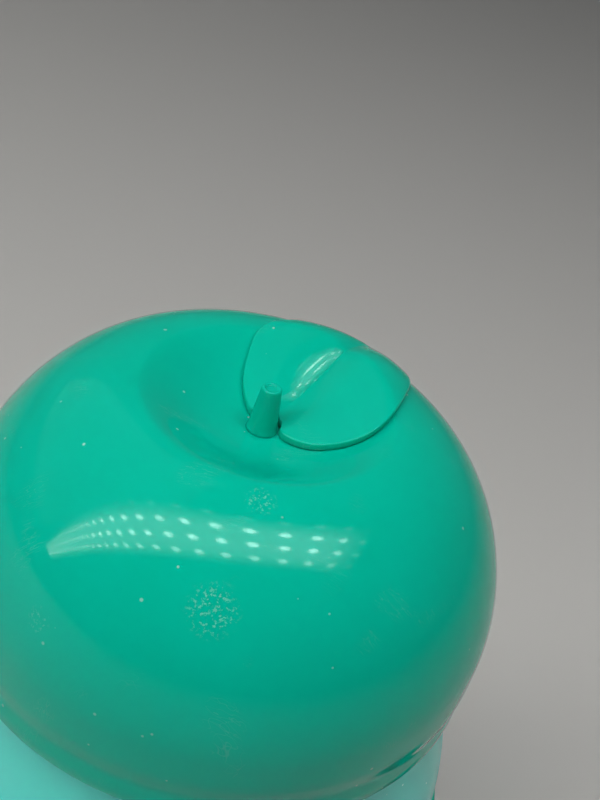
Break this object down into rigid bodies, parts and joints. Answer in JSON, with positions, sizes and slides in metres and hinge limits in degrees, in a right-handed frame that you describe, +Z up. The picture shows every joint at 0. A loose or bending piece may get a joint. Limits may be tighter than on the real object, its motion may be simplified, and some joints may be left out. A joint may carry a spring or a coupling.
{
  "type": "sippy cup",
  "caption": "Toddler's two-handled sippy cup with a soft spout under an apple-shaped lift-off cover with stem and leaf, screw collar and soft grips.",
  "frame": {"origin": "on the table, at the middle of the foot", "axes": "+Z up through the cup, +X through the right handle, -Y towards a viewer with a handle at each side"},
  "size_m": [0.1566, 0.089, 0.1402],
  "materials": {
    "green_shell": "glossy, faintly translucent, lightly scuffed",
    "aqua_collar": "glossy, translucent",
    "aqua_cup": "glossy, translucent",
    "clear_plate": "satin, translucent",
    "silicone": "matt, translucent silicone",
    "soft_grip": "matt, fine texture"
  },
  "bodies": {
    "cup": {"cup_body": "aqua_cup", "base_boot": "soft_grip", "handle_frame": "green_shell", "grip_right": "soft_grip", "grip_left": "soft_grip"},
    "lid": {"lid_plate": "clear_plate", "spout": "silicone", "rim_gasket": "silicone", "vent_valve": "silicone"},
    "valve": {"flow_valve": "silicone"},
    "collar": {"collar": "aqua_collar"},
    "cover": {"cover_dome": "green_shell", "stem": "green_shell", "leaf": "green_shell", "stem_clip": "clear_plate"}
  },
  "joints": [
    {"name": "lid_rise", "type": "slide", "parent": "cup", "child": "lid", "axis": [0, 0, 1], "range_m": [0, 0.0088]},
    {"name": "collar_turn", "type": "hinge", "parent": "lid", "child": "collar", "pos_m": [0, 0, 0.085], "axis": [0, 0, 1], "range_deg": [0, 630]},
    {"name": "cover_lift", "type": "slide", "parent": "collar", "child": "cover", "axis": [0, 0, 1], "range_m": [0, 0.06]},
    {"name": "valve_pull", "type": "slide", "parent": "lid", "child": "valve", "axis": [0, 0, -1], "range_m": [0, 0.02]}
  ],
  "couplings": [
    {"joint": "lid_rise", "follows": "collar_turn", "m_per_rad": 0.00079577}
  ]
}
